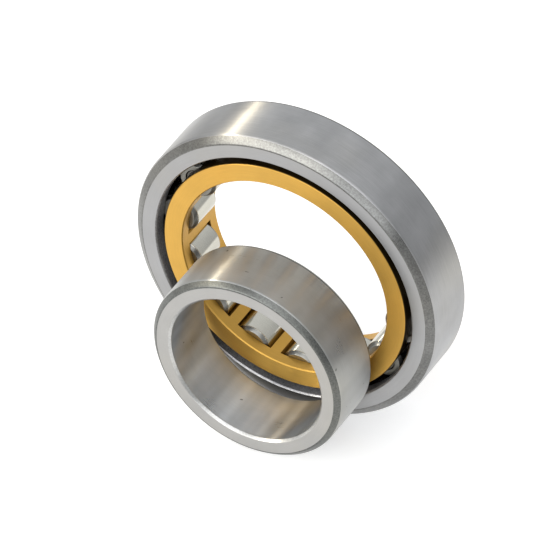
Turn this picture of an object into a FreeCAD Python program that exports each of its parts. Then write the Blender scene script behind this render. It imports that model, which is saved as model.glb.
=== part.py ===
import FreeCAD, Part
import os

import Sketcher

# Cylindrical roller bearing, outer ring with two fixed flanges, plain inner ring that slides out.
# Bearing axis along Y, front face toward -Y, Z up, origin in the middle of the outer ring.
# The inner ring stands on its rim on the same floor as the outer ring, just in front of it.

os.makedirs("parts", exist_ok=True)
doc = FreeCAD.newDocument("roller_bearing")

# ---------------------------------------------------------------- driving dimensions (mm, degrees)
DRIVING = [
    ("width_of_rings", "20.638"),
    ("outer_ring_radius", "50.8"),
    ("outer_chamfer_radial", "2.6"),
    ("outer_chamfer_axial", "1.8"),
    ("rim_rounding", "0.35"),
    ("flange_bore_radius", "43.2"),
    ("flange_edge_break", "0.3"),
    ("inner_ring_radius", "32.0"),
    ("inner_chamfer_radial", "1.6"),
    ("inner_chamfer_axial", "1.7"),
    ("shaft_bore_radius", "25.4"),
    ("shaft_chamfer", "0.8"),
    ("ring_gap", "2.0"),
    ("roller_radius", "6.35"),
    ("roller_length", "12.0"),
    ("roller_corner", "1.0"),
    ("roller_dimple_radius", "3.6"),
    ("roller_dimple_depth", "0.35"),
    ("roller_count", "14"),
    ("first_roller_angle", "-111.0"),
    ("inner_running_gap", "0.02"),
    ("outer_running_gap", "0.03"),
    ("flange_running_gap", "0.03"),
    ("relief_width", "0.9"),
    ("relief_depth", "0.3"),
    ("cage_bore_radius", "34.6"),
    ("cage_outer_radius", "40.9"),
    ("cage_recess", "0.6"),
    ("cage_edge_break", "0.3"),
    ("pocket_gap", "0.15"),
    ("pocket_end_gap", "0.1"),
    ("pocket_mouth_width", "12.1"),
    ("pocket_mouth_reach", "8.0"),
    ("stud_radius", "1.2"),
    ("rivet_hole_radius", "1.25"),
    ("rivet_head_radius", "1.8"),
    ("rivet_head_height", "0.45"),
]

# Sizes that follow from the driving ones.
DERIVED = [
    ("pitch_radius", "=inner_ring_radius + roller_radius + inner_running_gap"),
    ("raceway_radius", "=pitch_radius + roller_radius + outer_running_gap"),
    ("relief_radius", "=raceway_radius + relief_depth"),
    ("half_width", "=width_of_rings / 2"),
    ("outer_face_radius", "=outer_ring_radius - outer_chamfer_radial"),
    ("outer_rear_chamfer", "=width_of_rings - outer_chamfer_axial"),
    ("flange_face_radius", "=flange_bore_radius + flange_edge_break"),
    ("flange_rear_break", "=width_of_rings - flange_edge_break"),
    ("front_flange_wall", "=half_width - roller_length / 2 - flange_running_gap"),
    ("rear_flange_wall", "=half_width + roller_length / 2 + flange_running_gap"),
    ("front_relief_end", "=front_flange_wall + relief_width"),
    ("rear_relief_start", "=rear_flange_wall - relief_width"),
    ("flange_lip_radius", "=flange_bore_radius + 0.25"),
    ("front_lip", "=front_flange_wall - 0.25"),
    ("rear_lip", "=rear_flange_wall + 0.25"),
    ("inner_face_radius", "=inner_ring_radius - inner_chamfer_radial"),
    ("inner_rear_chamfer", "=width_of_rings - inner_chamfer_axial"),
    ("bore_face_radius", "=shaft_bore_radius + shaft_chamfer"),
    ("bore_rear_chamfer", "=width_of_rings - shaft_chamfer"),
    ("inner_ring_drop", "=outer_ring_radius - inner_ring_radius"),
    ("roller_half_length", "=roller_length / 2"),
    ("roller_far_corner", "=roller_length - roller_corner"),
    ("roller_face_radius", "=roller_radius - roller_corner"),
    ("roller_corner_mid_radius", "=roller_radius - roller_corner * 0.2929"),
    ("roller_corner_mid", "=roller_corner * 0.2929"),
    ("roller_far_corner_mid", "=roller_length - roller_corner * 0.2929"),
    ("dimple_floor_radius", "=roller_dimple_radius - roller_dimple_depth"),
    ("roller_far_dimple", "=roller_length - roller_dimple_depth"),
    ("pocket_radius", "=roller_radius + pocket_gap"),
    ("pocket_start", "=half_width - roller_length / 2 - pocket_end_gap"),
    ("pocket_end", "=half_width + roller_length / 2 + pocket_end_gap"),
    ("pocket_length", "=pocket_end - pocket_start"),
    ("mouth_inner_side", "=pitch_radius - pocket_mouth_reach"),
    ("mouth_half_width", "=pocket_mouth_width / 2"),
    ("cage_rear_face", "=width_of_rings - cage_recess"),
    ("cage_bore_break", "=cage_bore_radius + cage_edge_break"),
    ("cage_outer_break", "=cage_outer_radius - cage_edge_break"),
    ("cage_front_break", "=cage_recess + cage_edge_break"),
    ("cage_rear_break", "=cage_rear_face - cage_edge_break"),
    ("stud_length", "=cage_rear_face - pocket_end"),
    ("head_top", "=cage_rear_face + rivet_head_height"),
    ("bar_angle", "=first_roller_angle + 180 / roller_count"),
]

HEAD_TAPER = -30.0

sheet = doc.addObject("Spreadsheet::Sheet", "Sizes")
for row, (alias, text) in enumerate(DRIVING + DERIVED, start=1):
    sheet.set("A%d" % row, alias)
    sheet.set("B%d" % row, text)
    sheet.setAlias("B%d" % row, alias)
doc.recompute()


def size(alias):
    return float(getattr(sheet, alias))


def origin_plane(body, role):
    for feature in body.Origin.OriginFeatures:
        if feature.Role == role:
            return feature
    raise RuntimeError("no plane " + role)


def new_sketch(body, name, role):
    sketch = body.newObject("Sketcher::SketchObject", name)
    sketch.AttachmentSupport = [(origin_plane(body, role), "")]
    sketch.MapMode = "FlatFace"
    return sketch


def outline(sketch, corners):
    """Closed outline of straight lines; every corner is a pair of size names, '' for zero."""
    points = []
    for across, along in corners:
        x = size(across) if across else 0.0
        y = size(along) if along else 0.0
        points.append(FreeCAD.Vector(x, y, 0))
    count = len(points)
    for index in range(count):
        sketch.addGeometry(Part.LineSegment(points[index], points[(index + 1) % count]), False)
    for index in range(count):
        sketch.addConstraint(Sketcher.Constraint("Coincident", index, 2, (index + 1) % count, 1))
    for index, (across, along) in enumerate(corners):
        for kind, alias in (("DistanceX", across), ("DistanceY", along)):
            value = size(alias) if alias else 0.0
            number = sketch.addConstraint(Sketcher.Constraint(kind, -1, 1, index, 1, value))
            if alias:
                sketch.setExpression("Constraints[%d]" % number, "Sizes." + alias)


def turned(body, name, corners):
    """Body turned about its own Y axis from an outline of radius and distance from its front."""
    sketch = new_sketch(body, name + "_profile", "XY_Plane")
    outline(sketch, corners)
    turn = body.newObject("PartDesign::Revolution", name + "_turned")
    turn.Profile = sketch
    turn.ReferenceAxis = (sketch, ["V_Axis"])
    turn.Angle = 360.0
    doc.recompute()
    return turn


def rim_edges(shape, rims):
    """Names of the full circle edges with the given radius and distance along Y."""
    names = []
    for number, edge in enumerate(shape.Edges, start=1):
        curve = edge.Curve
        if not isinstance(curve, Part.Circle):
            continue
        for radius, along in rims:
            if abs(curve.Radius - radius) < 0.001 and abs(curve.Center.y - along) < 0.001:
                names.append("Edge%d" % number)
    return names


def round_rims(body, base, name, rims):
    fillet = body.newObject("PartDesign::Fillet", name)
    names = rim_edges(base.Shape, [(size(r), size(a) if a else 0.0) for r, a in rims])
    if len(names) != len(rims):
        raise RuntimeError("rims of %s: found %d of %d" % (name, len(names), len(rims)))
    fillet.Base = (base, names)
    fillet.setExpression("Radius", "Sizes.rim_rounding")
    doc.recompute()
    return fillet


def round_pattern(body, feature, name):
    """Repeat a feature around the bearing axis, once per roller."""
    pattern = body.newObject("PartDesign::PolarPattern", name)
    pattern.Originals = [feature]
    for line in body.Origin.OriginFeatures:
        if line.Role == "Y_Axis":
            pattern.Axis = (line, [""])
    pattern.Angle = 360.0
    pattern.setExpression("Occurrences", "Sizes.roller_count")
    body.Tip = pattern
    doc.recompute()
    return pattern


def new_body(label):
    body = doc.addObject("PartDesign::Body", label)
    body.Label = label
    return body


def spoke_sketch(body, name, angle_alias, along_alias):
    """Sketch square to the bearing axis, with its x axis turned to point along one spoke."""
    sketch = new_sketch(body, name, "XZ_Plane")
    # The XZ plane's own normal runs toward -Y.
    turn = FreeCAD.Rotation(FreeCAD.Vector(0, 0, 1), size(angle_alias))
    sketch.AttachmentOffset = FreeCAD.Placement(FreeCAD.Vector(0, 0, -size(along_alias)), turn)
    sketch.setExpression("AttachmentOffset.Base.z", "-Sizes." + along_alias)
    return sketch


def pitch_circle_sketch(body, name, radius_alias, angle_alias, along_alias):
    """Circle centred on the roller pitch circle."""
    sketch = spoke_sketch(body, name, angle_alias, along_alias)
    centre = FreeCAD.Vector(size("pitch_radius"), 0, 0)
    sketch.addGeometry(Part.Circle(centre, FreeCAD.Vector(0, 0, 1), size(radius_alias)), False)
    sketch.addConstraint(Sketcher.Constraint("PointOnObject", 0, 3, -1))
    radius_row = sketch.addConstraint(Sketcher.Constraint("Radius", 0, size(radius_alias)))
    sketch.setExpression("Constraints[%d]" % radius_row, "Sizes." + radius_alias)
    centre_row = sketch.addConstraint(Sketcher.Constraint("DistanceX", -1, 1, 0, 3, size("pitch_radius")))
    sketch.setExpression("Constraints[%d]" % centre_row, "Sizes.pitch_radius")
    doc.recompute()
    return sketch


def mouth_sketch(body, name, angle_alias, along_alias):
    """Rectangle from the pitch circle inward past the cage bore, a little narrower than a roller."""
    sketch = spoke_sketch(body, name, angle_alias, along_alias)
    near = size("mouth_inner_side")
    far = size("pitch_radius")
    half = size("mouth_half_width")
    corners = [
        FreeCAD.Vector(near, -half, 0),
        FreeCAD.Vector(far, -half, 0),
        FreeCAD.Vector(far, half, 0),
        FreeCAD.Vector(near, half, 0),
    ]
    for index in range(4):
        sketch.addGeometry(Part.LineSegment(corners[index], corners[(index + 1) % 4]), False)
    for index in range(4):
        sketch.addConstraint(Sketcher.Constraint("Coincident", index, 2, (index + 1) % 4, 1))
    sketch.addConstraint(Sketcher.Constraint("Horizontal", 0))
    sketch.addConstraint(Sketcher.Constraint("Horizontal", 2))
    sketch.addConstraint(Sketcher.Constraint("Vertical", 3))
    sketch.addConstraint(Sketcher.Constraint("Symmetric", 1, 1, 1, 2, -1))
    rows = [
        (Sketcher.Constraint("DistanceX", -1, 1, 0, 1, near), "mouth_inner_side"),
        (Sketcher.Constraint("DistanceX", -1, 1, 0, 2, far), "pitch_radius"),
        (Sketcher.Constraint("DistanceY", -1, 1, 2, 2, half), "mouth_half_width"),
    ]
    for constraint, alias in rows:
        row = sketch.addConstraint(constraint)
        sketch.setExpression("Constraints[%d]" % row, "Sizes." + alias)
    doc.recompute()
    return sketch


def cut(body, sketch, name, length_alias, least_volume):
    """Pocket toward the side where there is material."""
    before = body.Shape.Volume
    feature = body.newObject("PartDesign::Pocket", name)
    feature.Profile = sketch
    feature.Type = "Length"
    feature.setExpression("Length", "Sizes." + length_alias)
    doc.recompute()
    if before - body.Shape.Volume < least_volume:
        feature.Reversed = not feature.Reversed
        doc.recompute()
    if before - body.Shape.Volume < least_volume:
        raise RuntimeError(name + " cuts nothing")
    return feature


def raised(body, sketch, name, length_alias, top_alias, taper=0.0):
    """Pad toward the rear, up to the given distance from the front face."""
    feature = body.newObject("PartDesign::Pad", name)
    feature.Profile = sketch
    feature.setExpression("Length", "Sizes." + length_alias)
    feature.TaperAngle = taper
    doc.recompute()
    if abs(body.Shape.BoundBox.YMax - size(top_alias)) > 0.01:
        feature.Reversed = not feature.Reversed
        doc.recompute()
    if abs(body.Shape.BoundBox.YMax - size(top_alias)) > 0.01:
        raise RuntimeError(name + " has the wrong height")
    return feature


# ---------------------------------------------------------------- outer ring
outer = new_body("outer_ring")
outer_turned = turned(outer, "outer_ring", [
    ("outer_face_radius", ""),
    ("outer_ring_radius", "outer_chamfer_axial"),
    ("outer_ring_radius", "outer_rear_chamfer"),
    ("outer_face_radius", "width_of_rings"),
    ("flange_face_radius", "width_of_rings"),
    ("flange_bore_radius", "flange_rear_break"),
    ("flange_bore_radius", "rear_lip"),
    ("flange_lip_radius", "rear_flange_wall"),
    ("relief_radius", "rear_flange_wall"),
    ("relief_radius", "rear_relief_start"),
    ("raceway_radius", "rear_relief_start"),
    ("raceway_radius", "front_relief_end"),
    ("relief_radius", "front_relief_end"),
    ("relief_radius", "front_flange_wall"),
    ("flange_lip_radius", "front_flange_wall"),
    ("flange_bore_radius", "front_lip"),
    ("flange_bore_radius", "flange_edge_break"),
    ("flange_face_radius", ""),
])
round_rims(outer, outer_turned, "outer_ring_rims", [
    ("outer_face_radius", ""),
    ("outer_ring_radius", "outer_chamfer_axial"),
    ("outer_ring_radius", "outer_rear_chamfer"),
    ("outer_face_radius", "width_of_rings"),
])
outer.setExpression("Placement.Base.y", "-Sizes.half_width")

# ---------------------------------------------------------------- inner ring
inner = new_body("inner_ring")
inner_turned = turned(inner, "inner_ring", [
    ("bore_face_radius", ""),
    ("inner_face_radius", ""),
    ("inner_ring_radius", "inner_chamfer_axial"),
    ("inner_ring_radius", "inner_rear_chamfer"),
    ("inner_face_radius", "width_of_rings"),
    ("bore_face_radius", "width_of_rings"),
    ("shaft_bore_radius", "bore_rear_chamfer"),
    ("shaft_bore_radius", "shaft_chamfer"),
])
round_rims(inner, inner_turned, "inner_ring_rims", [
    ("inner_face_radius", ""),
    ("inner_ring_radius", "inner_chamfer_axial"),
    ("inner_ring_radius", "inner_rear_chamfer"),
    ("inner_face_radius", "width_of_rings"),
])
inner.setExpression("Placement.Base.y", "-Sizes.half_width - Sizes.ring_gap - Sizes.width_of_rings")
inner.setExpression("Placement.Base.z", "-Sizes.inner_ring_drop")

# ---------------------------------------------------------------- cage comb: front ring, bars and studs
comb = new_body("cage_comb")
turned(comb, "cage_comb", [
    ("cage_bore_break", "cage_recess"),
    ("cage_outer_break", "cage_recess"),
    ("cage_outer_radius", "cage_front_break"),
    ("cage_outer_radius", "pocket_end"),
    ("cage_bore_radius", "pocket_end"),
    ("cage_bore_radius", "cage_front_break"),
])
pocket_sketch = pitch_circle_sketch(comb, "pocket_circle", "pocket_radius", "first_roller_angle", "pocket_end")
pocket = cut(comb, pocket_sketch, "roller_pocket", "pocket_length", 100.0)
round_pattern(comb, pocket, "roller_pockets")
slot_sketch = mouth_sketch(comb, "pocket_mouth_outline", "first_roller_angle", "pocket_end")
mouth = cut(comb, slot_sketch, "pocket_mouth", "pocket_length", 5.0)
round_pattern(comb, mouth, "pocket_mouths")
stud_sketch = pitch_circle_sketch(comb, "stud_circle", "stud_radius", "bar_angle", "pocket_end")
stud = raised(comb, stud_sketch, "rivet_stud", "stud_length", "cage_rear_face")
round_pattern(comb, stud, "rivet_studs")
head_sketch = pitch_circle_sketch(comb, "head_circle", "rivet_head_radius", "bar_angle", "cage_rear_face")
head = raised(comb, head_sketch, "rivet_head", "rivet_head_height", "head_top", HEAD_TAPER)
round_pattern(comb, head, "rivet_heads")
comb.setExpression("Placement.Base.y", "-Sizes.half_width")

# ---------------------------------------------------------------- cage cover: rear ring held by the studs
cover = new_body("cage_cover")
turned(cover, "cage_cover", [
    ("cage_bore_radius", "pocket_end"),
    ("cage_outer_radius", "pocket_end"),
    ("cage_outer_radius", "cage_rear_break"),
    ("cage_outer_break", "cage_rear_face"),
    ("cage_bore_break", "cage_rear_face"),
    ("cage_bore_radius", "cage_rear_break"),
])
hole_sketch = pitch_circle_sketch(cover, "rivet_hole_circle", "rivet_hole_radius", "bar_angle", "cage_rear_face")
hole = cut(cover, hole_sketch, "rivet_hole", "stud_length", 5.0)
round_pattern(cover, hole, "rivet_holes")
cover.setExpression("Placement.Base.y", "-Sizes.half_width")

# ---------------------------------------------------------------- rollers
ROLLER_OUTLINE = [
    ("", "roller_dimple_depth"),
    ("dimple_floor_radius", "roller_dimple_depth"),
    ("roller_dimple_radius", ""),
    ("roller_face_radius", ""),
    ("roller_corner_mid_radius", "roller_corner_mid"),
    ("roller_radius", "roller_corner"),
    ("roller_radius", "roller_far_corner"),
    ("roller_corner_mid_radius", "roller_far_corner_mid"),
    ("roller_face_radius", "roller_length"),
    ("roller_dimple_radius", "roller_length"),
    ("dimple_floor_radius", "roller_far_dimple"),
    ("", "roller_far_dimple"),
]
rollers = []
for index in range(int(size("roller_count"))):
    label = "roller_%02d" % (index + 1)
    roller = new_body(label)
    turned(roller, label, ROLLER_OUTLINE)
    angle = "(Sizes.first_roller_angle + %d * 360 / Sizes.roller_count)" % index
    roller.setExpression("Placement.Base.x", "Sizes.pitch_radius * cos(%s)" % angle)
    roller.setExpression("Placement.Base.y", "-Sizes.roller_half_length")
    roller.setExpression("Placement.Base.z", "Sizes.pitch_radius * sin(%s)" % angle)
    rollers.append(roller)
doc.recompute()

# ---------------------------------------------------------------- check and write
for item in doc.Objects:
    if "Invalid" in item.State or "Error" in item.State:
        raise RuntimeError("%s: %s" % (item.Label, item.State))
nodes = [outer, inner, comb, cover] + rollers
for node in nodes:
    if node.Shape.isNull() or not node.Shape.isValid() or len(node.Shape.Solids) != 1:
        raise RuntimeError("bad shape: " + node.Label)
    node.Shape.exportStep("parts/%s.step" % node.Label)
    box = node.Shape.BoundBox
    print("%-12s volume %9.2f  x %7.2f %7.2f  y %7.2f %7.2f  z %7.2f %7.2f" % (
        node.Label, node.Shape.Volume, box.XMin, box.XMax, box.YMin, box.YMax, box.ZMin, box.ZMax))
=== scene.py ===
import math

import bpy
from mathutils import Matrix, Vector


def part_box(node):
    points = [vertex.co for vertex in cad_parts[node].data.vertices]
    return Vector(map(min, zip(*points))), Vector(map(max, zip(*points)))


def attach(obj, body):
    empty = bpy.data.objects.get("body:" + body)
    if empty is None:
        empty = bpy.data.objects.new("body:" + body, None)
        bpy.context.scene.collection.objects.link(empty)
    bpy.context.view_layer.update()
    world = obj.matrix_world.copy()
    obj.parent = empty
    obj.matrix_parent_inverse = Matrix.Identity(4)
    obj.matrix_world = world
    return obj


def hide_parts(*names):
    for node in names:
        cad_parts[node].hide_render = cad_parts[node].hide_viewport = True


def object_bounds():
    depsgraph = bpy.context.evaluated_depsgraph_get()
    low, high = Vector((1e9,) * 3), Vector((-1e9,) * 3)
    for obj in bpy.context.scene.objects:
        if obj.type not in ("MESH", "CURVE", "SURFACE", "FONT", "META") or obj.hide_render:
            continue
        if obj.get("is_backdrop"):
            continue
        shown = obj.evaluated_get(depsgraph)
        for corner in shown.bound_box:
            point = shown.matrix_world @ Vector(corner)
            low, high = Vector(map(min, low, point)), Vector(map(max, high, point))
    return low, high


# Cylindrical roller bearing. Metres, bearing axis along Y, front face toward -Y, Z up.
# The outer ring's centre is the origin. The loose inner ring stands in front of it.

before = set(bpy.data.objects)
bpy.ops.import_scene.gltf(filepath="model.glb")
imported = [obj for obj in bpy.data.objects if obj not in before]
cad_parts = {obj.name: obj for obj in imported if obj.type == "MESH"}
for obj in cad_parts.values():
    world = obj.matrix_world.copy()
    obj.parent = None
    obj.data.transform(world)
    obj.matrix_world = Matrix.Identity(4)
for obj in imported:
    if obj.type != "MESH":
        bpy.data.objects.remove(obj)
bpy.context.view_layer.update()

MM = 0.001

# ---------------------------------------------------------------- sizes read from the frame
outer_low, outer_high = (Vector(corner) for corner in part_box("outer_ring"))
inner_low, inner_high = (Vector(corner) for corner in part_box("inner_ring"))
cage_low, cage_high = (Vector(corner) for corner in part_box("cage_comb"))
roller_low, roller_high = (Vector(corner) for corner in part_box("roller_01"))
RING_RADIUS = (outer_high.z - outer_low.z) / 2
RING_WIDTH = outer_high.y - outer_low.y
INNER_RADIUS = (inner_high.z - inner_low.z) / 2
CAGE_RADIUS = (cage_high.z - cage_low.z) / 2
ROLLER_RADIUS = (roller_high.z - roller_low.z) / 2
ROLLER_LENGTH = roller_high.y - roller_low.y
OUTER_CENTRE = (outer_low + outer_high) / 2
INNER_CENTRE = (inner_low + inner_high) / 2
FLOOR_Z = outer_low.z

# Sizes that the frame's boxes do not show.
OUTER_CHAMFER_RADIAL = 2.6 * MM
OUTER_CHAMFER_AXIAL = 1.8 * MM
FLANGE_BORE = 43.2 * MM
FLANGE_EDGE = 0.45 * MM
RACEWAY = 44.75 * MM
RELIEF_DEPTH = 0.3 * MM
RELIEF_WIDTH = 0.9 * MM
FLANGE_GAP = 0.03 * MM
INNER_CHAMFER_RADIAL = 1.6 * MM
INNER_CHAMFER_AXIAL = 1.7 * MM
SHAFT_BORE = 25.4 * MM
SHAFT_CHAMFER = 0.8 * MM
ROLLER_CORNER = 1.0 * MM
ROLLER_DIMPLE = 3.6 * MM
ROLLER_DIMPLE_DEPTH = 0.35 * MM

# Roundings of the turned outlines.
RING_EDGE = 0.9 * MM
BORE_EDGE = 0.4 * MM
SHARP_EDGE = 0.12 * MM
ROLLER_SIDE_EDGE = 0.5 * MM
ROLLER_END_EDGE = 0.2 * MM
DIMPLE_FLOOR_EDGE = 0.3 * MM
DIMPLE_RIM_EDGE = 0.15 * MM

# Each roller is turned around a hole of this radius, too small to see.
AXLE = 0.02 * MM

RING_STEPS = 192
ROLLER_STEPS = 64
ARC_STEPS = 4
# Most of a side that one rounding may take.
SIDE_SHARE = 0.45


# ---------------------------------------------------------------- turned meshes
def rounded(corners):
    """Outline of (radius, along, rounding, finish) corners with each rounded corner made an arc.

    Returns (radius, along, finish) points; finish is that of the stretch that starts at the point.
    """
    points = []
    count = len(corners)
    for index, (radius, along, rounding, finish) in enumerate(corners):
        here = Vector((radius, along))
        before = Vector(corners[index - 1][:2]) - here
        after = Vector(corners[(index + 1) % count][:2]) - here
        if rounding <= 0:
            points.append((radius, along, finish))
            continue
        half_angle = before.angle(after) / 2
        reach = min(rounding / math.tan(half_angle), SIDE_SHARE * before.length, SIDE_SHARE * after.length)
        size = reach * math.tan(half_angle)
        inward = (before.normalized() + after.normalized()).normalized()
        middle = here + inward * (size / math.sin(half_angle))
        first = here + before.normalized() * reach - middle
        last = here + after.normalized() * reach - middle
        sweep = first.angle_signed(last)
        for step in range(ARC_STEPS + 1):
            turn = -sweep * step / ARC_STEPS
            x = first.x * math.cos(turn) - first.y * math.sin(turn)
            y = first.x * math.sin(turn) + first.y * math.cos(turn)
            points.append((middle.x + x, middle.y + y, finish))
    return points


def turned_mesh(name, outline, centre, steps, finishes):
    """Closed body turned about an axis along Y through centre, one material per finish name."""
    slots = list(dict.fromkeys(finish for _, _, finish in outline))
    vertices = []
    for step in range(steps):
        angle = 2 * math.pi * step / steps
        for radius, along, _ in outline:
            x = centre.x + radius * math.cos(angle)
            z = centre.z + radius * math.sin(angle)
            vertices.append((x, centre.y + along, z))
    faces = []
    kinds = []
    count = len(outline)
    for step in range(steps):
        following = (step + 1) % steps
        for index in range(count):
            ahead = (index + 1) % count
            faces.append((step * count + index, following * count + index,
                          following * count + ahead, step * count + ahead))
            kinds.append(slots.index(outline[index][2]))
    return finished_mesh(name, vertices, faces, kinds, [finishes[slot] for slot in slots])


def finished_mesh(name, vertices, faces, kinds, materials):
    mesh = bpy.data.meshes.new(name)
    mesh.from_pydata(vertices, [], faces)
    for material in materials:
        mesh.materials.append(material)
    for polygon, kind in zip(mesh.polygons, kinds):
        polygon.material_index = kind
        polygon.use_smooth = True
    mesh.update()
    piece = bpy.data.objects.new(name, mesh)
    bpy.context.scene.collection.objects.link(piece)
    return piece


# ---------------------------------------------------------------- node helpers
class Nodes:
    def __init__(self, material):
        self.tree = material.node_tree
        self.tree.nodes.clear()

    def add(self, kind, inputs=None, **settings):
        node = self.tree.nodes.new(kind)
        for name, value in settings.items():
            setattr(node, name, value)
        for socket, value in (inputs or {}).items():
            if isinstance(value, bpy.types.NodeSocket):
                self.tree.links.new(value, node.inputs[socket])
            else:
                node.inputs[socket].default_value = value
        return node

    def math(self, operation, first, second=0.0, clamp=False):
        node = self.add("ShaderNodeMath", {0: first, 1: second}, operation=operation, use_clamp=clamp)
        return node.outputs[0]

    def noise(self, vector, scale, detail=3.0, roughness=0.5):
        node = self.add("ShaderNodeTexNoise",
                        {"Vector": vector, "Scale": scale, "Detail": detail, "Roughness": roughness})
        return node.outputs["Fac"]

    def ramp(self, factor, low, high, low_value, high_value):
        node = self.add("ShaderNodeMapRange", {
            "Value": factor, "From Min": low, "From Max": high, "To Min": low_value, "To Max": high_value})
        return node.outputs["Result"]

    def mix_colour(self, factor, first, second, blend="MIX"):
        node = self.add("ShaderNodeMix", data_type="RGBA", blend_type=blend)
        for socket, value in ((0, factor), (6, first), (7, second)):
            if isinstance(value, bpy.types.NodeSocket):
                self.tree.links.new(value, node.inputs[socket])
            elif socket == 0:
                node.inputs[socket].default_value = value
            else:
                node.inputs[socket].default_value = (*value, 1.0)
        return node.outputs[2]


# Noise sizes, in cells per metre; around a turned body they are cells per radius.
MARKS_ACROSS = 5200.0
MARKS_AROUND = 5.0
CLOUDS = 85.0
STAINS = 38.0
GRAIN = 1900.0
PITS = 420.0
CHATTER = 0.9
# Share of the turning marks that shows in colour, and how far they smooth or roughen the surface.
MARK_SHADE = 0.35
MARK_SMOOTH = 0.06
MARK_ROUGH = 0.14
PIT_SHADE = 0.35
# Painted shade on the cage's outside: how dark it is painted, and the width over which the darkening sets in.
PAINTED_GAP_SHADE = 0.08
PAINTED_GAP_SHADE_EDGE = 0.1 * MM
RELIEF_HEIGHT = 0.0002
GRAIN_RELIEF = 0.1
# Turns the stretched highlight so that it runs across the marks.
ACROSS_THE_MARKS = 0.25


def turning_coordinates(nodes, centre):
    """Place from the centre, then coordinates that follow the turning: marks, around, and radius."""
    place = nodes.add("ShaderNodeTexCoord").outputs["Object"]
    shifted = nodes.add("ShaderNodeVectorMath", {0: place, 1: tuple(centre)}, operation="SUBTRACT").outputs[0]
    parts = nodes.add("ShaderNodeSeparateXYZ", {0: shifted})
    x, y, z = parts.outputs
    radius = nodes.math("SQRT", nodes.math("ADD", nodes.math("MULTIPLY", x, x), nodes.math("MULTIPLY", z, z)))
    across = nodes.math("MULTIPLY", nodes.math("ADD", radius, y), MARKS_ACROSS)
    around_x = nodes.math("MULTIPLY", nodes.math("DIVIDE", x, radius), MARKS_AROUND)
    around_z = nodes.math("MULTIPLY", nodes.math("DIVIDE", z, radius), MARKS_AROUND)
    marks = nodes.add("ShaderNodeCombineXYZ", {0: around_x, 1: across, 2: around_z}).outputs[0]
    around = nodes.add("ShaderNodeCombineXYZ", {0: around_x, 1: 0.0, 2: around_z}).outputs[0]
    return shifted, marks, around, radius


def metal(name, colour, roughness, centre, marks=0.25, mottle=0.10, speckle=0.0, anisotropy=0.0,
          bump=0.04, tint=(1.0, 0.96, 0.88), pits=0.0, metallic=1.0, bands=0.0, painted_shade_outside=0.0):
    """Machined metal: fine marks that follow the turning, cloudy colour variation.

    Optional: speckle, small dark pits, the faint lengthwise bands that grinding leaves, and
    a radius from which the outside is painted dark: painted shade for the narrow gap round it.
    """
    material = bpy.data.materials.new(name)
    material.use_nodes = True
    nodes = Nodes(material)
    shifted, lines, around, radius = turning_coordinates(nodes, centre)
    fine = nodes.noise(lines, 1.0, 4.0, 0.65)
    clouds = nodes.noise(shifted, CLOUDS, 3.0, 0.55)
    grain = nodes.noise(shifted, GRAIN, 2.0, 0.6)
    light = tuple(min(1.0, part * (1 + mottle)) for part in colour)
    dark = tuple(part * (1 - mottle) for part in colour)
    warm = tuple(part * shade for part, shade in zip(colour, tint))
    base = nodes.mix_colour(nodes.ramp(clouds, 0.32, 0.68, 0.0, 1.0), dark, light)
    stains = nodes.noise(shifted, STAINS, 2.0)
    base = nodes.mix_colour(nodes.ramp(stains, 0.45, 0.75, 0.0, 0.6), base, warm)
    shade = nodes.ramp(fine, 0.25, 0.75, 1 - MARK_SHADE * marks, 1 + MARK_SHADE * marks)
    if bands:
        chatter = nodes.noise(around, CHATTER, 1.5, 0.5)
        shade = nodes.math("MULTIPLY", shade, nodes.ramp(chatter, 0.3, 0.7, 1 - bands, 1 + bands))
    if speckle:
        shade = nodes.math("MULTIPLY", shade, nodes.ramp(grain, 0.3, 0.7, 1 - speckle, 1 + speckle))
    # Painted shade: beyond the given radius the colour darkens, standing in for the shade in the gap between
    # cage and outer ring.
    if painted_shade_outside:
        shade = nodes.math("MULTIPLY", shade,
                           nodes.ramp(radius, painted_shade_outside - PAINTED_GAP_SHADE_EDGE, painted_shade_outside, 1.0, PAINTED_GAP_SHADE))
    if pits:
        spots = nodes.noise(shifted, PITS, 1.0, 0.4)
        shade = nodes.math("MULTIPLY", shade, nodes.ramp(spots, pits, pits + 0.02, 1.0, PIT_SHADE))
    shade_colour = nodes.add("ShaderNodeCombineColor", {0: shade, 1: shade, 2: shade}).outputs[0]
    base = nodes.mix_colour(1.0, base, shade_colour, "MULTIPLY")
    rough = nodes.math("ADD", nodes.ramp(fine, 0.25, 0.75, roughness - MARK_SMOOTH * marks,
                                         roughness + MARK_ROUGH * marks),
                       nodes.ramp(clouds, 0.3, 0.7, -0.02, 0.03), clamp=True)
    height = nodes.math("ADD", nodes.math("MULTIPLY", fine, marks),
                        nodes.math("MULTIPLY", grain, speckle + GRAIN_RELIEF))
    relief = nodes.add("ShaderNodeBump", {"Strength": bump, "Distance": RELIEF_HEIGHT, "Height": height})
    shader = nodes.add("ShaderNodeBsdfPrincipled", {
        "Base Color": base, "Metallic": metallic, "Roughness": rough, "Normal": relief.outputs[0],
        "Anisotropic": anisotropy, "Anisotropic Rotation": ACROSS_THE_MARKS})
    if anisotropy:
        tangent = nodes.add("ShaderNodeTangent", direction_type="RADIAL", axis="Y")
        nodes.tree.links.new(tangent.outputs[0], shader.inputs["Tangent"])
    nodes.add("ShaderNodeOutputMaterial", {"Surface": shader.outputs[0]})
    return material


STEEL = (0.43, 0.43, 0.435)
ROLLER_STEEL = (0.60, 0.585, 0.52)
BRASS = (0.60, 0.35, 0.072)

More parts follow.
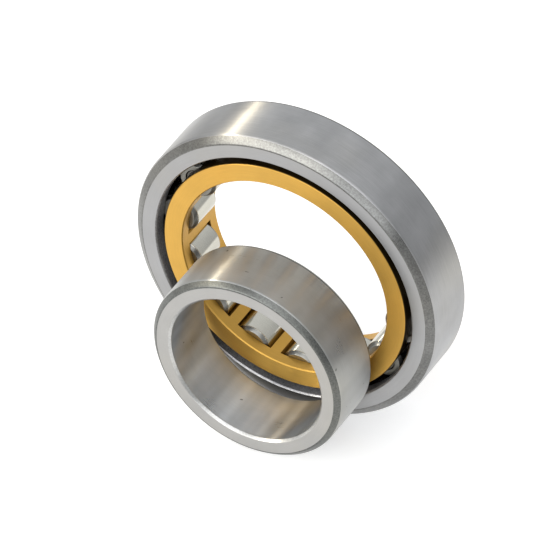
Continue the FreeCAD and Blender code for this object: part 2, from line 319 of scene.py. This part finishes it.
# ---------------------------------------------------------------- outer ring
half = RING_WIDTH / 2
face_radius = RING_RADIUS - OUTER_CHAMFER_RADIAL
shoulder = ROLLER_LENGTH / 2 + FLANGE_GAP
outer_outline = rounded([
    (face_radius, -half, RING_EDGE, "chamfer"),
    (RING_RADIUS, -half + OUTER_CHAMFER_AXIAL, RING_EDGE, "ground"),
    (RING_RADIUS, half - OUTER_CHAMFER_AXIAL, RING_EDGE, "chamfer"),
    (face_radius, half, RING_EDGE, "face"),
    (FLANGE_BORE + FLANGE_EDGE, half, SHARP_EDGE, "edge"),
    (FLANGE_BORE, half - FLANGE_EDGE, SHARP_EDGE, "flange"),
    (FLANGE_BORE, shoulder, SHARP_EDGE, "flange"),
    (RACEWAY + RELIEF_DEPTH, shoulder, SHARP_EDGE, "flange"),
    (RACEWAY + RELIEF_DEPTH, shoulder - RELIEF_WIDTH, SHARP_EDGE, "race"),
    (RACEWAY, shoulder - RELIEF_WIDTH, SHARP_EDGE, "race"),
    (RACEWAY, -shoulder + RELIEF_WIDTH, SHARP_EDGE, "race"),
    (RACEWAY + RELIEF_DEPTH, -shoulder + RELIEF_WIDTH, SHARP_EDGE, "flange"),
    (RACEWAY + RELIEF_DEPTH, -shoulder, SHARP_EDGE, "flange"),
    (FLANGE_BORE, -shoulder, SHARP_EDGE, "flange"),
    (FLANGE_BORE, -half + FLANGE_EDGE, SHARP_EDGE, "edge"),
    (FLANGE_BORE + FLANGE_EDGE, -half, SHARP_EDGE, "face"),
])
outer_finishes = {
    "ground": metal("outer_ground_steel", STEEL, 0.32, OUTER_CENTRE, marks=0.35, mottle=0.10, anisotropy=1.0,
                    tint=(0.92, 0.89, 0.80), bands=0.05),
    "face": metal("outer_face_steel", (0.355, 0.355, 0.36), 0.30, OUTER_CENTRE, marks=0.15, mottle=0.04),
    "chamfer": metal("outer_chamfer_steel", (0.17, 0.17, 0.165), 0.28, OUTER_CENTRE, marks=0.2, mottle=0.15,
                     speckle=0.25, bump=0.12),
    "flange": metal("outer_flange_steel", (0.30, 0.30, 0.32), 0.42, OUTER_CENTRE, marks=0.3, mottle=0.2,
                    speckle=0.4, bump=0.12, metallic=0.5),
    "edge": metal("outer_flange_edge_steel", (0.34, 0.34, 0.355), 0.30, OUTER_CENTRE, marks=0.3, mottle=0.15,
                  speckle=0.3, bump=0.12),
    "race": metal("outer_raceway_steel", (0.30, 0.30, 0.31), 0.18, OUTER_CENTRE, marks=0.2, mottle=0.05),
}
outer_ring = turned_mesh("outer_ring_turned", outer_outline, OUTER_CENTRE, RING_STEPS, outer_finishes)
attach(outer_ring, "outer_ring")
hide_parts("outer_ring")

# ---------------------------------------------------------------- inner ring
inner_face_radius = INNER_RADIUS - INNER_CHAMFER_RADIAL
inner_outline = rounded([
    (SHAFT_BORE + SHAFT_CHAMFER, -half, SHARP_EDGE, "face"),
    (inner_face_radius, -half, RING_EDGE, "chamfer"),
    (INNER_RADIUS, -half + INNER_CHAMFER_AXIAL, RING_EDGE, "ground"),
    (INNER_RADIUS, half - INNER_CHAMFER_AXIAL, RING_EDGE, "chamfer"),
    (inner_face_radius, half, RING_EDGE, "face"),
    (SHAFT_BORE + SHAFT_CHAMFER, half, SHARP_EDGE, "bore_edge"),
    (SHAFT_BORE, half - SHAFT_CHAMFER, BORE_EDGE, "bore"),
    (SHAFT_BORE, -half + SHAFT_CHAMFER, BORE_EDGE, "bore_edge"),
])
inner_finishes = {
    "ground": metal("inner_ground_steel", (0.395, 0.40, 0.395), 0.29, INNER_CENTRE, marks=0.18, mottle=0.08,
                    anisotropy=1.0, pits=0.78, metallic=0.8, tint=(0.90, 0.85, 0.74), bands=0.12),
    "face": metal("inner_face_steel", (0.395, 0.39, 0.38), 0.30, INNER_CENTRE, marks=0.15, mottle=0.04),
    "chamfer": metal("inner_chamfer_steel", (0.14, 0.145, 0.14), 0.36, INNER_CENTRE, marks=0.2, mottle=0.15,
                     speckle=0.25, bump=0.12),
    "bore": metal("inner_bore_steel", (0.48, 0.50, 0.52), 0.29, INNER_CENTRE, marks=0.16, mottle=0.10,
                  anisotropy=1.0, pits=0.79, metallic=0.9, tint=(0.97, 0.96, 0.92), bands=0.18),
    "bore_edge": metal("inner_bore_edge_steel", (0.50, 0.50, 0.49), 0.30, INNER_CENTRE, marks=0.2, mottle=0.1,
                       speckle=0.15),
}
inner_ring = turned_mesh("inner_ring_turned", inner_outline, INNER_CENTRE, RING_STEPS, inner_finishes)
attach(inner_ring, "inner_ring")
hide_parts("inner_ring")

# ---------------------------------------------------------------- rollers
roller_half = ROLLER_LENGTH / 2
roller_outline = rounded([
    (AXLE, -roller_half + ROLLER_DIMPLE_DEPTH, 0, "end"),
    (ROLLER_DIMPLE - ROLLER_DIMPLE_DEPTH, -roller_half + ROLLER_DIMPLE_DEPTH, DIMPLE_FLOOR_EDGE, "end"),
    (ROLLER_DIMPLE, -roller_half, DIMPLE_RIM_EDGE, "end"),
    (ROLLER_RADIUS - ROLLER_CORNER, -roller_half, ROLLER_END_EDGE, "corner"),
    (ROLLER_RADIUS, -roller_half + ROLLER_CORNER, ROLLER_SIDE_EDGE, "side"),
    (ROLLER_RADIUS, roller_half - ROLLER_CORNER, ROLLER_SIDE_EDGE, "corner"),
    (ROLLER_RADIUS - ROLLER_CORNER, roller_half, ROLLER_END_EDGE, "end"),
    (ROLLER_DIMPLE, roller_half, DIMPLE_RIM_EDGE, "end"),
    (ROLLER_DIMPLE - ROLLER_DIMPLE_DEPTH, roller_half - ROLLER_DIMPLE_DEPTH, DIMPLE_FLOOR_EDGE, "end"),
    (AXLE, roller_half - ROLLER_DIMPLE_DEPTH, 0, "end"),
])
roller_nodes = sorted(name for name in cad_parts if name.startswith("roller_"))
for node in roller_nodes:
    low, high = (Vector(corner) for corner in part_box(node))
    centre = (low + high) / 2
    finishes = {
        "side": metal(node + "_side_steel", ROLLER_STEEL, 0.14, centre, marks=0.15, mottle=0.05, bump=0.01),
        # The ends and corners are coloured far darker than the sides: painted shade for the cage pockets
        # round them.
        "end": metal(node + "_end_steel", (0.24, 0.235, 0.215), 0.34, centre, marks=0.4, mottle=0.05,
                     bump=0.03),
        "corner": metal(node + "_corner_steel", (0.24, 0.24, 0.23), 0.28, centre, marks=0.1, mottle=0.03),
    }
    roller = turned_mesh(node + "_turned", roller_outline, centre, ROLLER_STEPS, finishes)
    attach(roller, node)
    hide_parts(node)

# ---------------------------------------------------------------- cage
# The brass is painted dark on the cage's outside: painted shade for the narrow gap under the outer ring.
brass = metal("cage_machined_brass", BRASS, 0.38, OUTER_CENTRE, marks=0.22, mottle=0.06, bump=0.03,
              tint=(1.0, 0.93, 0.80), metallic=0.85, painted_shade_outside=CAGE_RADIUS - PAINTED_GAP_SHADE_EDGE)
for node in ("cage_comb", "cage_cover"):
    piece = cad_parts[node]
    piece.data.materials.clear()
    piece.data.materials.append(brass)

# ---------------------------------------------------------------- floor
# Painted light: the floor's colour and glow are brightest at a place under the view and fade between two
# distances from it, a painted pool of light.
PAINTED_LIGHT_CENTRE = (-0.08, 0.14, FLOOR_Z)
FADE_START = 0.24
FADE_END = 0.62
PAINTED_FAR_FLOOR_SHADE = 0.46
PALE = (0.72, 0.72, 0.72)
PAINTED_GLOW = 0.50
FLOOR_REACH = 6.0


def floor_with_painted_light():
    """Matt pale sheet with painted light: it glows, brightest around the bearing, and its colour and glow
    fade out with distance.
    """
    material = bpy.data.materials.new("floor_with_painted_light")
    material.use_nodes = True
    nodes = Nodes(material)
    place = nodes.add("ShaderNodeTexCoord").outputs["Object"]
    distance = nodes.add("ShaderNodeVectorMath", {0: place, 1: PAINTED_LIGHT_CENTRE}, operation="DISTANCE")
    level = nodes.add("ShaderNodeMapRange", {
        "Value": distance.outputs["Value"], "From Min": FADE_START, "From Max": FADE_END,
        "To Min": 1.0, "To Max": PAINTED_FAR_FLOOR_SHADE}, interpolation_type="SMOOTHSTEP").outputs["Result"]
    shade = nodes.add("ShaderNodeCombineColor", {0: level, 1: level, 2: level}).outputs[0]
    base = nodes.mix_colour(1.0, shade, PALE, "MULTIPLY")
    # Painted light: the sheet glows like a lamp, which pales the shadows on it.
    shader = nodes.add("ShaderNodeBsdfPrincipled", {
        "Base Color": base, "Roughness": 0.9, "Emission Color": shade, "Emission Strength": PAINTED_GLOW})
    nodes.add("ShaderNodeOutputMaterial", {"Surface": shader.outputs[0]})
    return material


floor = finished_mesh(
    "floor",
    [(-FLOOR_REACH, -FLOOR_REACH, FLOOR_Z), (FLOOR_REACH, -FLOOR_REACH, FLOOR_Z),
     (FLOOR_REACH, FLOOR_REACH, FLOOR_Z), (-FLOOR_REACH, FLOOR_REACH, FLOOR_Z)],
    [(0, 1, 2, 3)], [0], [floor_with_painted_light()])
floor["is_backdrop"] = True

# ---------------------------------------------------------------- light
BRIGHT_SIDE = (-0.55, 0.55, 0.63)
DIM_SKY = 0.35
BRIGHT_SKY = 0.84
world = bpy.data.worlds.new("studio")
bpy.context.scene.world = world
world.use_nodes = True
# A soft sky, brightest behind and to the left, where the room's window would be.
sky = world.node_tree.nodes
background = sky["Background"]
background.inputs["Color"].default_value = (0.96, 0.98, 1.0, 1.0)
toward = sky.new("ShaderNodeTexCoord").outputs["Generated"]
facing = sky.new("ShaderNodeVectorMath")
facing.operation = "DOT_PRODUCT"
facing.inputs[1].default_value = BRIGHT_SIDE
spread = sky.new("ShaderNodeMapRange")
spread.inputs["From Min"].default_value = -1.0
spread.inputs["From Max"].default_value = 1.0
spread.inputs["To Min"].default_value = DIM_SKY
spread.inputs["To Max"].default_value = BRIGHT_SKY
world.node_tree.links.new(toward, facing.inputs[0])
world.node_tree.links.new(facing.outputs["Value"], spread.inputs["Value"])
world.node_tree.links.new(spread.outputs["Result"], background.inputs["Strength"])


def lamp(name, first, last, width, watts, colour):
    """Rectangular lamp from first to last, facing the origin."""
    first, last = Vector(first), Vector(last)
    along = (last - first).normalized()
    place = (first + last) / 2
    away = (place - along * place.dot(along)).normalized()
    data = bpy.data.lights.new(name, "AREA")
    data.shape = "RECTANGLE"
    data.size = (last - first).length
    data.size_y = width
    data.energy = watts
    data.color = colour
    light = bpy.data.objects.new(name, data)
    light.location = place
    light.rotation_mode = "QUATERNION"
    light.rotation_quaternion = Matrix((along, away.cross(along), away)).transposed().to_quaternion()
    bpy.context.scene.collection.objects.link(light)


# Two strips at the left, meeting at a high middle, draw one narrow streak along every ground cylinder.
STRIP_REAR = (-1.56, 1.43, 0.59)
STRIP_MIDDLE = (-1.80, 0.0, 1.26)
STRIP_FRONT = (-1.56, -1.43, 0.59)
STRIP_WIDTH = 0.10
WARM = (1.0, 0.89, 0.68)
WHITE = (1.0, 1.0, 1.0)
SOFT_WHITE = (1.0, 0.99, 0.95)
COOL = (0.96, 0.98, 1.0)
lamp("rear_strip", STRIP_REAR, STRIP_MIDDLE, STRIP_WIDTH, 3.3, WARM)
lamp("front_strip", STRIP_MIDDLE, STRIP_FRONT, STRIP_WIDTH, 10.5, WARM)
# Two soft lamps low at the front brighten the upper left of the front chamfers, then their top right.
lamp("side_lamp", (-1.55, -1.15, 0.50), (-0.20, -1.95, 0.75), 0.6, 16.0, SOFT_WHITE)
lamp("low_lamp", (-0.20, -1.95, 0.72), (0.85, -1.80, 0.25), 0.5, 6.0, COOL)
# A wide lamp above the front fills the cage and the inside of the rings.
lamp("front_fill", (-0.6, -1.6, 1.6), (1.2, -1.6, 1.6), 1.6, 13.0, WHITE)

# ---------------------------------------------------------------- camera
AZIMUTH = math.radians(29.81)
ELEVATION = math.radians(42.13)
DISTANCE = 46.35 * RING_RADIUS
SIDE_SHIFT = -0.0451 * RING_RADIUS
UP_SHIFT = 0.0232 * RING_RADIUS
SENSOR = 36.0
LENS = 523.6
back = Vector((math.sin(AZIMUTH) * math.cos(ELEVATION), -math.cos(AZIMUTH) * math.cos(ELEVATION),
               math.sin(ELEVATION)))
right = Vector((math.cos(AZIMUTH), math.sin(AZIMUTH), 0))
up = back.cross(right)
camera_data = bpy.data.cameras.new("camera")
camera_data.sensor_width = SENSOR
camera_data.lens = LENS
camera_data.clip_start = 0.05
camera_data.clip_end = 50.0
camera = bpy.data.objects.new("camera", camera_data)
target = Vector((0, outer_low.y, 0)) + right * SIDE_SHIFT + up * UP_SHIFT
camera.location = target + back * DISTANCE
camera.rotation_mode = "QUATERNION"
camera.rotation_quaternion = back.to_track_quat("Z", "Y")
bpy.context.scene.collection.objects.link(camera)
bpy.context.scene.camera = camera
bpy.context.scene.view_settings.view_transform = "Standard"

low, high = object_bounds()
